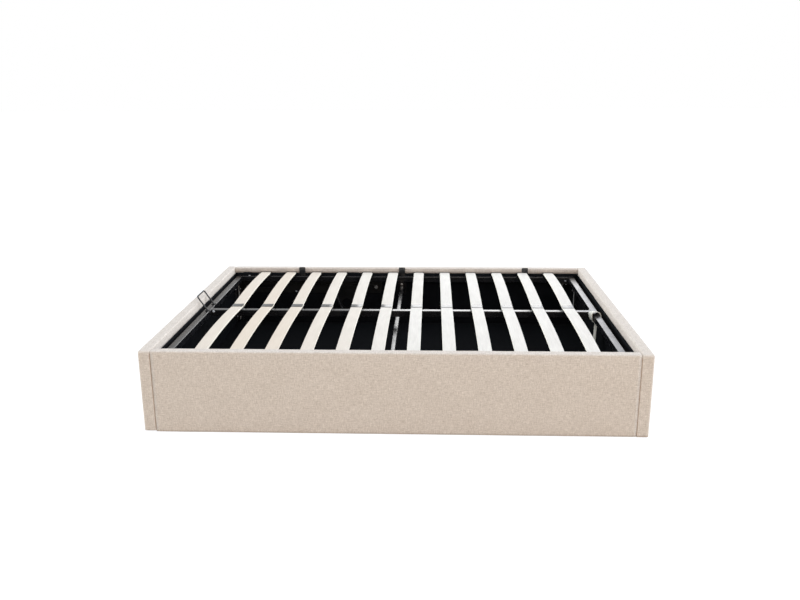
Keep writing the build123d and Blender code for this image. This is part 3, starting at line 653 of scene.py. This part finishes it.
def cover(name, kind, side):
    """A panel's or rail's cover: thin foam under fabric, turned over the top and tacked inside."""
    lo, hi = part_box(name + "_cover")
    lo.z -= SKIRT
    hi.z += KINDS[kind]["foam"]
    long_axis, thick_axis = KINDS[kind]["axes"]
    outer = hi[thick_axis] if side > 0 else lo[thick_axis]

    def radius_of(middle, axis):
        inside = abs(middle[thick_axis] - outer) >= 1e-5
        height = "top" if middle.z > (lo.z + hi.z) / 2 else "bottom"
        edge = "upright" if axis == 2 else height if axis == long_axis else "end_" + height
        return KINDS[kind]["radii"][edge][inside] * MM

    bm = block(lo, hi, radius_of)
    slice_up(bm, long_axis, lo[long_axis], hi[long_axis], LONG_STEP)
    slice_up(bm, 2, lo.z, hi.z, HIGH_STEP)
    slice_up(bm, thick_axis, lo[thick_axis], hi[thick_axis], KINDS[kind]["step"])
    open_inside(bm, kind, side, hi[long_axis])
    pull_tight(bm, lo, hi, kind, side)
    unfold(bm, hi, hi[thick_axis] - lo[thick_axis], outer, kind, side)
    obj = link(name.replace("_panel", "") + "_upholstery", from_bmesh(name, bm))
    thicken(obj, FABRIC, -1)
    finished(obj, MATERIALS["upholstery"])
    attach(obj, "base")
    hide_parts(name + "_cover")


cover("left_rail", "rail", -1)
cover("right_rail", "rail", 1)
cover("head_panel", "panel", -1)
cover("foot_panel", "panel", 1)


# The sewn edges in the seams, whose darker thread is a painted shade of the grooves

CORD_X, CORD_Y = 0.9526, 0.7279
CORD_LOW, CORD_LENGTH = 0.006, 0.322
CORD_RADIUS = 1.25 * MM
CORD_STEPS = 64


def seam_cords():
    """The sewn edge that shows in the groove between each rail's cover and each panel's cover."""
    for end, x in (("head", -CORD_X), ("foot", CORD_X)):
        for hand, y in (("left", -CORD_Y), ("right", CORD_Y)):
            bm = bmesh.new()
            rings = []
            for k in range(CORD_STEPS + 1):
                z = CORD_LOW + CORD_LENGTH * k / CORD_STEPS
                sway = 0.25 * MM * noise.noise(Vector((x * 9, y * 7, z * 30)))
                around = circle(x + sway, y, CORD_RADIUS, 10)
                rings.append([bm.verts.new((a, b, z)) for a, b in around])
            skin(bm, rings)
            obj = link(f"seam_{end}_{hand}", from_bmesh(f"seam_{end}_{hand}", bm))
            obj.data.materials.append(SEAM_THREAD_SHADE)
            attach(obj, "base")


seam_cords()


# Black lining on the four inner faces

LINING_THICK = 0.8 * MM
LINING_LOW = 0.005
LINING_COLUMN, LINING_ROWS = 0.03, 12
LINING_RIPPLE = 0.45 * MM


def black_sheet(name, columns, thickness):
    """A thin black sheet through columns of points."""
    bm = bmesh.new()
    grid = [[bm.verts.new(point) for point in column] for column in columns]
    for a, b in zip(grid, grid[1:]):
        for k in range(len(a) - 1):
            bm.faces.new((a[k], b[k], b[k + 1], a[k + 1]))
    obj = link(name, from_bmesh(name, bm))
    thicken(obj, thickness)
    finished(obj, MATERIALS["lining"])
    return obj


def lining(name, axis, at, half, high):
    """A thin sheet tacked flat on an inner face, with slight ripples."""
    columns = []
    count = max(2, round(2 * half / LINING_COLUMN))
    for i in range(count + 1):
        l = -half + 2 * half * i / count
        column = []
        for k in range(LINING_ROWS + 1):
            z = LINING_LOW + (high - LINING_LOW) * k / LINING_ROWS
            p = Vector((l, at, z)) if axis == 1 else Vector((at, l, z))
            soft = math.copysign(LINING_RIPPLE, at) * math.sin(math.pi * k / LINING_ROWS)
            p[axis] -= soft * (0.6 + noise.noise(Vector((l * 9, at, z * 7))))
            column.append(p)
        columns.append(column)
    obj = black_sheet(name, columns, LINING_THICK)
    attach(obj, "base")
    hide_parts("inner_lining")


lining("left_lining", 1, -0.6895, 0.953, 0.3155)
lining("right_lining", 1, 0.6895, 0.953, 0.3155)
lining("head_lining", 0, -0.9535, 0.689, 0.3065)
lining("foot_lining", 0, 0.9535, 0.689, 0.3065)


# Sprung slats

ROWS = range(1, 13)
SLAT_HALF = 26.6 * MM
SLAT_THICK = 8 * MM
SLAT_LOW, SLAT_RISE = 0.310, 10.9 * MM
SLAT_ROUND = 2.8 * MM
SLAT_IN, SLAT_OUT = 3 * MM, 679 * MM
SLAT_STATIONS = 44


def row_middle(row):
    """Where a row of slats lies along X."""
    lo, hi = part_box(f"slat_row_{row:02d}")
    return (lo.x + hi.x) / 2


def bow(y):
    """The underside of a slat over a distance from the bed's middle line."""
    t = (y - SLAT_IN) / (SLAT_OUT - SLAT_IN)
    return SLAT_LOW + SLAT_RISE * (1 - (2 * t - 1) ** 2)


def slat_section():
    """Points round a slat's cross-section: across, up, and 1 on an edge or 0 on a face."""
    points = []
    for sx, sz, start in ((1, 1, 0), (-1, 1, 90), (-1, -1, 180), (1, -1, 270)):
        cx = sx * (SLAT_HALF - SLAT_ROUND)
        cz = SLAT_THICK / 2 + sz * (SLAT_THICK / 2 - SLAT_ROUND)
        for step in range(6):
            angle = math.radians(start + 90 * step / 5)
            sideways = math.cos(angle)
            points.append((cx + SLAT_ROUND * sideways, cz + SLAT_ROUND * math.sin(angle),
                           abs(sideways) > 0.8))
        if sx == sz:
            points += [(sx * x * MM, SLAT_THICK if sz > 0 else 0.0, False) for x in (16, 6, -6, -16)]
    return points


def slat(name, x, side, row):
    """One bowed slat of one side, its ends in their holders."""
    bm = bmesh.new()
    section = slat_section()
    middle = SLAT_THICK / 2
    rings, layers, edges = [], [], []
    x += 0.25 * MM * noise.noise(Vector((row * 3.3, side, 0.5)))
    for s in range(-1, SLAT_STATIONS + 2):
        # The outermost rings are smaller: they close the chamfered ends.
        t = min(1, max(0, s / SLAT_STATIONS))
        ends = s in (-1, SLAT_STATIONS + 1)
        wide, thick = (0.975, 0.84) if ends else (1.0, 1.0)
        y = SLAT_IN + (SLAT_OUT - SLAT_IN) * t
        z = bow(y) + middle
        if s in (0, SLAT_STATIONS):
            y += (0.8 if s == 0 else -0.8) * MM
        rings.append([bm.verts.new((x + across * wide, side * y, z + (up - middle) * thick))
                      for across, up, edge in section])
        layers += [up / SLAT_THICK for across, up, edge in section]
        edges += [edge or ends for across, up, edge in section]
    skin(bm, rings)
    mesh = from_bmesh(name, bm)
    point_attribute(mesh, "layer", layers)
    point_attribute(mesh, "edge", edges)
    # Painted shade: the slats are made warmer and darker towards the head end, for how the light falls
    # there; each slat's tone also differs a little at random.
    tone = min(0.75, 1.05 - 0.14 * row) + 0.3 * noise.noise(Vector((row * 7.7, side * 2.2, 1.4)))
    point_attribute(mesh, "tone", [min(1.0, max(0.0, tone))] * len(layers))
    obj = link(name, mesh)
    obj.data.materials.append(MATERIALS["slat_wood"])
    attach(obj, "platform")
    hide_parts(f"slat_row_{row:02d}")


for row_number in ROWS:
    slat(f"slat_{row_number:02d}_left", row_middle(row_number), -1, row_number)
    slat(f"slat_{row_number:02d}_right", row_middle(row_number), 1, row_number)


# Slat holders

HOLDER_HALF = 28.3 * MM
HOLDER_LOW = 300 * MM
# Places of the side holder's parts, from the middle line, and heights of their tops
HOLDER_IN, HOLDER_OUT = 0.646, 0.682
CHEEK_TOP = 0.3172
HOOK_IN, HOOK_OUT, HOOK_TOP = 0.664, 0.6805, 0.3205
END_WALL_IN, END_WALL_TOP = 0.6795, 0.3195
CAP_HALF, TRAY_HALF = 23 * MM, 36 * MM
CENTRE_HALF = SLAT_HALF - 0.9 * MM
SEAT_GAP = 0.3 * MM


def moulded(name, bm, radius):
    """A mesh of moulded plastic parts, with small rounded edges."""
    obj = link(name, from_bmesh(name, bm), smooth=False)
    round_edges(obj, radius, 50)
    finished(obj, MATERIALS["holder_plastic"])
    mesh = obj.data
    bpy.data.objects.remove(obj)
    return mesh


def side_holder_mesh():
    """The holder of a slat's outer end, on the right side: a tray with low cheeks and an end wall."""
    bm = bmesh.new()
    seat = [(HOLDER_IN, HOLDER_LOW), (HOLDER_OUT, HOLDER_LOW), (HOLDER_OUT, 0.3098),
            (HOLDER_IN, bow(HOLDER_IN) - SEAT_GAP)]
    prism(bm, seat, 0, -HOLDER_HALF, HOLDER_HALF)
    cheek = [(HOLDER_IN, HOLDER_LOW + 1 * MM), (HOLDER_OUT, HOLDER_LOW + 1 * MM),
             (HOLDER_OUT, CHEEK_TOP), (HOLDER_IN + 9 * MM, 0.3165), (HOLDER_IN, 0.3125)]
    for side in (-1, 1):
        prism(bm, cheek, 0, *sorted((side * HOLDER_HALF, side * (SLAT_HALF + 0.2 * MM))))
        x0, x1 = sorted((side * HOLDER_HALF, side * (SLAT_HALF - 1.6 * MM)))
        slab(bm, x0, x1, HOOK_IN, HOOK_OUT, bow(HOOK_IN) + SLAT_THICK + 0.1 * MM, HOOK_TOP)
    slab(bm, -HOLDER_HALF, HOLDER_HALF, END_WALL_IN, HOLDER_OUT, HOLDER_LOW, END_WALL_TOP)
    for x in (-18 * MM, 18 * MM):
        slab(bm, x - 2 * MM, x + 2 * MM, HOLDER_IN - 1.5 * MM, HOLDER_IN, HOLDER_LOW + 0.5 * MM, 0.308)
    return moulded("side_holder", bm, 0.5 * MM)


def centre_holder_mesh():
    """The double holder on the centre tube: a low cap over two slat ends, a web and a seat below."""
    bm = bmesh.new()
    top = [(CAP_HALF * k / 6, 0.3206 + 0.25 * MM * (1 - (k / 6) ** 2)) for k in range(-6, 7)]
    under = [(y, bow(max(abs(y), SLAT_IN)) + SLAT_THICK + 0.05 * MM)
             for y in (CAP_HALF, SLAT_IN, -SLAT_IN, -CAP_HALF)]
    prism(bm, top + under, 0, -CENTRE_HALF, CENTRE_HALF)
    high = bow(TRAY_HALF) - SEAT_GAP
    seat = [(-TRAY_HALF, HOLDER_LOW), (TRAY_HALF, HOLDER_LOW), (TRAY_HALF, high), (0, 0.3095),
            (-TRAY_HALF, high)]
    prism(bm, seat, 0, -CENTRE_HALF, CENTRE_HALF)
    slab(bm, 1 * MM - CENTRE_HALF, CENTRE_HALF - 1 * MM, -2.6 * MM, 2.6 * MM, 0.3094, 0.3195)
    return moulded("centre_holder", bm, 0.4 * MM)


def place_holders():
    """A side holder at each slat's outer end and a double one at each row's middle."""
    side_mesh, centre_mesh = side_holder_mesh(), centre_holder_mesh()
    for row in ROWS:
        for label, mesh, turn, node in (
            ("left", side_mesh, math.pi, "side_slat_holders"),
            ("right", side_mesh, 0.0, "side_slat_holders"),
            ("centre", centre_mesh, 0.0, "centre_slat_holders"),
        ):
            obj = link(f"holder_{row:02d}_{label}", mesh, smooth=False)
            obj.location.x = row_middle(row)
            obj.rotation_euler.z = turn
            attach(obj, "platform")
            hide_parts(node)


place_holders()


# Mattress stoppers at the far side

STOPPER_PLACES = (-0.573, -0.017, 0.661)
STOPPER_HALF, STOPPER_LOW, STOPPER_TOP = 17 * MM, 0.275, 0.3455
STOPPER_BACK = 0.6822
# The swollen face: its size against the blade's, and the height that it is centred on
FACE_SHARE, FACE_MIDDLE, FACE_LOW = 0.72, 0.322, 0.308


def stopper_mesh():
    """A moulded stop: an upright blade with a slightly swollen face, screwed to the tube's side."""
    bm = bmesh.new()
    half, low, high, back = STOPPER_HALF, STOPPER_LOW, STOPPER_TOP, STOPPER_BACK
    outline = [(-half, low), (half, low), (half, high - 4 * MM), (half - 1.2 * MM, high - 1.2 * MM),
               (half - 4 * MM, high), (-half + 4 * MM, high), (-half + 1.2 * MM, high - 1.2 * MM),
               (-half, high - 4 * MM)]
    prism(bm, outline, 1, back, back + 2.4 * MM)
    face = [(-half * FACE_SHARE, FACE_LOW), (half * FACE_SHARE, FACE_LOW)]
    face += [(x * FACE_SHARE, FACE_MIDDLE + (z - FACE_MIDDLE) * FACE_SHARE) for x, z in outline[2:]]
    prism(bm, face, 1, back - 0.9 * MM, back + 0.2 * MM)
    for x in (-9 * MM, 9 * MM):
        prism(bm, circle(x, 0.285, 3.4 * MM, 16), 1, back + 2.3 * MM, back + 4.0 * MM)
    return moulded("stopper", bm, 0.4 * MM)


stop_mesh = stopper_mesh()
for stop_number, stop_x in enumerate(STOPPER_PLACES, 1):
    stop = link(f"stopper_{stop_number}", stop_mesh, smooth=False)
    stop.location.x = stop_x
    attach(stop, "platform")
    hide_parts("mattress_stoppers")


# Small fittings: a bolt and ribs that the photograph shows, and the tape over the floor boards' joint

BOLT_X, BOLT_Y, BOLT_Z = -0.8905, -0.0149, 0.2925
RIB_X, RIB_Y = 0.9375, 0.6862
RIB_LOW, RIB_TOP = 0.042, 0.239
RIB_HALF, RIB_DEEP = 2.4 * MM, 1.6 * MM
TAPE_WIDE, TAPE_LONG, TAPE_THICK = 0.044, 1.372, 0.3 * MM
TAPE_HEIGHT = 0.02535


def fitting(name, bm, radius, material, body):
    """A small rigid piece with softened edges."""
    obj = link(name, from_bmesh(name, bm))
    round_edges(obj, radius, 40)
    finished(obj, material)
    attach(obj, body)


def tube_bolt():
    """A bright hexagon head on its washer, on the side of the centre tube near the head end."""
    bm = bmesh.new()
    for count, radius, start, stop in ((32, 6.0, 0.0, 1.2), (6, 4.8, 1.1, 5.0)):
        ring = circle(BOLT_X, BOLT_Z, radius * MM, count, 0.3)
        prism(bm, ring, 1, BOLT_Y - start * MM, BOLT_Y - stop * MM)
    fitting("tube_bolt", bm, 0.5 * MM, BRIGHT_ZINC, "platform")


def bracket_highlight_ribs():
    """The half-round rib that stands on each corner bracket's leg along the rail, coloured light grey
    as a painted highlight on the black bracket.
    """
    for end, x in (("head", -RIB_X), ("foot", RIB_X)):
        for hand, side in (("left", -1), ("right", 1)):
            turns = [math.pi * k / 8 for k in range(9)]
            half_round = [(x + RIB_HALF * math.cos(a), side * (RIB_Y - RIB_DEEP * math.sin(a)))
                          for a in turns]
            bm = bmesh.new()
            prism(bm, half_round, 2, RIB_LOW, RIB_TOP)
            fitting(f"bracket_rib_{end}_{hand}", bm, 0.3 * MM, RIB_PAINTED_HIGHLIGHT, "base")


def floor_tape():
    """Black cloth tape over the joint of the two floor boards."""
    columns, rows = 6, 60
    obj = black_sheet("floor_joint_tape", [[
        (-TAPE_WIDE / 2 + TAPE_WIDE * i / columns, -TAPE_LONG / 2 + TAPE_LONG * k / rows,
         TAPE_HEIGHT + 0.15 * MM * noise.noise(Vector((i * 0.7, k * 0.9, 5.0))))
        for k in range(rows + 1)] for i in range(columns + 1)], TAPE_THICK)
    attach(obj, "base")


tube_bolt()
bracket_highlight_ribs()
floor_tape()


# Pull strap

STRAP_THICK = 3.0 * MM
STRAP_FROM_Y, STRAP_WIDE = -70 * MM, 50 * MM
STRAP_STRIPS = 12
# How much lower the loop's top lies at its far edge than at its near one, from which height on, and how
# far its near edge opens towards -X, from where on
LOOP_DROP, LOOP_TOP_FROM, LOOP_TOP_OVER = 12 * MM, 0.296, 0.020
LOOP_OPEN, LOOP_OPEN_FROM, LOOP_OPEN_OVER = 6 * MM, 0.905, 0.014


def smooth_line(points, closed, count):
    """Points along a smooth curve through the given ones."""
    spans = len(points) if closed else len(points) - 1
    line = []
    for k in range(count + (0 if closed else 1)):
        t = k / count * spans
        i = min(int(t), spans - 1)
        f = t - i
        near = [(i + d) % len(points) if closed else min(max(i + d, 0), spans) for d in (-1, 0, 1, 2)]
        line.append(Vector([
            0.5 * (2 * b + (c - a) * f + (2 * a - 5 * b + 4 * c - d) * f * f
                   + (3 * b - a - 3 * c + d) * f ** 3)
            for a, b, c, d in zip(*(points[n] for n in near))
        ]))
    return line


def ribbon(name, points, closed, count):
    """A band of the strap along a smooth line of points in the XZ plane, on UVs in metres."""
    bm = bmesh.new()
    layer = bm.loops.layers.uv.new("weave")
    line = smooth_line(points, closed, count)
    rows, runs = [], [0.0]
    for p, q in zip(line, line[1:]):
        runs.append(runs[-1] + (q - p).length)
    for k, p in enumerate(line):
        x, z = p.x, p.y
        row = []
        for j in range(STRAP_STRIPS + 1):
            far = j / STRAP_STRIPS
            y = STRAP_FROM_Y + STRAP_WIDE * far
            curl = 0.5 * MM * noise.noise(Vector((k * 0.12, y * 40, 2.0)))
            drop = opening = 0.0
            if closed:
                on_top = min(1.0, max(0.0, (z - LOOP_TOP_FROM) / LOOP_TOP_OVER))
                behind = min(1.0, max(0.0, (LOOP_OPEN_FROM - x) / LOOP_OPEN_OVER))
                drop = LOOP_DROP * on_top * far ** 0.8
                opening = LOOP_OPEN * behind * (1 - far)
            row.append(bm.verts.new((x + curl + opening, y, z + curl - drop)))
        rows.append(row)
    pairs = list(zip(range(len(rows)), range(1, len(rows))))
    if closed:
        pairs.append((len(rows) - 1, 0))
    for a, b in pairs:
        run_a, run_b = runs[a], runs[b] if b else runs[-1] + 1 * MM
        for j in range(STRAP_STRIPS):
            face = bm.faces.new((rows[a][j], rows[a][j + 1], rows[b][j + 1], rows[b][j]))
            places = ((j, run_a), (j + 1, run_a), (j + 1, run_b), (j, run_b))
            for corner, (strip, run) in zip(face.loops, places):
                corner[layer].uv = (strip * STRAP_WIDE / STRAP_STRIPS, run)
    obj = link(name, from_bmesh(name, bm))
    thicken(obj, STRAP_THICK)
    round_edges(obj, 0.7 * MM, 50)
    finished(obj, MATERIALS["strap"])
    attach(obj, "platform")
    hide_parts("pull_strap")


def mm(*pairs):
    """Points of the XZ plane given in millimetres."""
    return [Vector((x * MM, z * MM, 0)) for x, z in pairs]


ribbon("strap_loop", mm(
    (911, 263), (901, 264), (891, 267), (885, 276), (882.5, 290), (882, 304), (887, 313), (898, 317),
    (911, 316.5), (922, 311), (928, 300), (929, 286), (926, 273), (919, 265),
), True, 90)
ribbon("strap_tail", mm(
    (912, 262.2), (912.6, 250), (911.5, 225), (910.4, 198), (909.5, 172), (909.2, 150),
), False, 50)


# Floor, light and camera

SKY_LIGHT, SKY_TINT = 0.71, (0.93, 1.05, 1.2, 1)
FLOOR_BOUNCE, FLOOR_SHADE, FLOOR_GLOW = (0.56, 0.49, 0.39, 1), (0.3, 0.3, 0.3, 1), 0.8
WHITE = (1, 1, 1, 1)
LENS, SENSOR = 36.078, 36.0
CAMERA_PLACE = (0.14594, -3.64437, 1.36762)
CAMERA_PITCH, CAMERA_YAW, CAMERA_ROLL = (math.radians(a) for a in (15.5990, -2.3147, -0.3192))


def stage_floor():
    """A plain white floor: lit as pale paper, seen as white with the object's soft shadow."""
    material = bpy.data.materials.new("floor_white")
    g = Nodes(material)
    bounce = g.add("ShaderNodeBsdfDiffuse", {"Color": FLOOR_BOUNCE}).outputs[0]
    shade = g.add("ShaderNodeBsdfDiffuse", {"Color": FLOOR_SHADE}).outputs[0]
    glow = g.add("ShaderNodeEmission", {"Color": WHITE, "Strength": FLOOR_GLOW}).outputs[0]
    look = g.add("ShaderNodeAddShader", {0: shade, 1: glow}).outputs[0]
    mixed = g.add("ShaderNodeMixShader", {0: g.seen(), 1: bounce, 2: look}).outputs[0]
    g.add("ShaderNodeOutputMaterial", {"Surface": mixed})
    bm = bmesh.new()
    bmesh.ops.create_grid(bm, x_segments=8, y_segments=8, size=30.0)
    floor = link("floor", from_bmesh("floor", bm))
    floor.location.z = -0.2 * MM
    floor.data.materials.append(material)


def world():
    """An even white sky, dimmer and bluer as light than as background."""
    sky = bpy.data.worlds.new("studio")
    scene.world = sky
    g = Nodes(sky)
    seen = g.seen()
    strength = g.spread(seen, 0.0, 1.0, SKY_LIGHT, 1.0)
    inputs = {"Color": g.mix(seen, SKY_TINT, WHITE), "Strength": strength}
    g.add("ShaderNodeOutputWorld", {"Surface": g.add("ShaderNodeBackground", inputs).outputs[0]})


def lamp(name, kind, energy, colour, ahead):
    """A lamp that shines along a direction, not seen by the camera."""
    data = bpy.data.lights.new(name, kind)
    data.energy = energy
    data.color = colour
    obj = bpy.data.objects.new(name, data)
    scene.collection.objects.link(obj)
    obj.rotation_euler = ahead.to_track_quat("-Z", "Y").to_euler()
    obj.visible_camera = False
    return obj


def softbox(name, place, aim, size, watts, colour=(1, 1, 1)):
    """A rectangular lamp aimed at a point."""
    obj = lamp(name, "AREA", watts, colour, Vector(aim) - Vector(place))
    obj.location = place
    obj.data.shape = "RECTANGLE"
    obj.data.size, obj.data.size_y = size


def sun(name, elevation, azimuth, strength, colour):
    """A very soft distant lamp: azimuth 0 shines from +X, 90 from +Y."""
    e, a = math.radians(elevation), math.radians(azimuth)
    toward = Vector((math.cos(e) * math.cos(a), math.cos(e) * math.sin(a), math.sin(e)))
    lamp(name, "SUN", strength, colour, -toward).data.angle = math.radians(50)


def camera():
    """The photograph's viewpoint."""
    data = bpy.data.cameras.new("camera")
    data.lens = LENS
    data.sensor_width = SENSOR
    data.sensor_fit = "HORIZONTAL"
    data.clip_end = 200
    eye = bpy.data.objects.new("camera", data)
    scene.collection.objects.link(eye)
    ahead = Vector((math.sin(CAMERA_YAW), math.cos(CAMERA_YAW), 0))
    right = Vector((math.cos(CAMERA_YAW), -math.sin(CAMERA_YAW), 0))
    up = Vector((0, 0, 1))
    forward = ahead * math.cos(CAMERA_PITCH) - up * math.sin(CAMERA_PITCH)
    level_up = up * math.cos(CAMERA_PITCH) + ahead * math.sin(CAMERA_PITCH)
    side = right * math.cos(CAMERA_ROLL) + level_up * math.sin(CAMERA_ROLL)
    head = level_up * math.cos(CAMERA_ROLL) - right * math.sin(CAMERA_ROLL)
    turn = Matrix((side, head, -forward)).transposed().to_4x4()
    eye.matrix_world = Matrix.Translation(CAMERA_PLACE) @ turn
    scene.camera = eye


stage_floor()
world()
softbox("key_front", (2.4, -8.5, 3.26), (0.1, 0, 0.2), (5.4, 3.6), 207, (1.0, 0.765, 0.57))
softbox("back_window", (0.6, 5.0, 1.9), (0.6, 0, 0.3), (2.3, 2.1), 55.5)
softbox("back_window_side", (2.25, 5.0, 1.9), (1.6, 0, 0.3), (1.0, 2.1), 15, (0.92, 0.93, 1.0))
sun("fill_right", 17, 0, 3.1, (0.86, 0.97, 1.08))
sun("fill_left", 12, 180, 3.1, (0.96, 1.01, 1.05))
camera()
scene.view_settings.view_transform = "Standard"
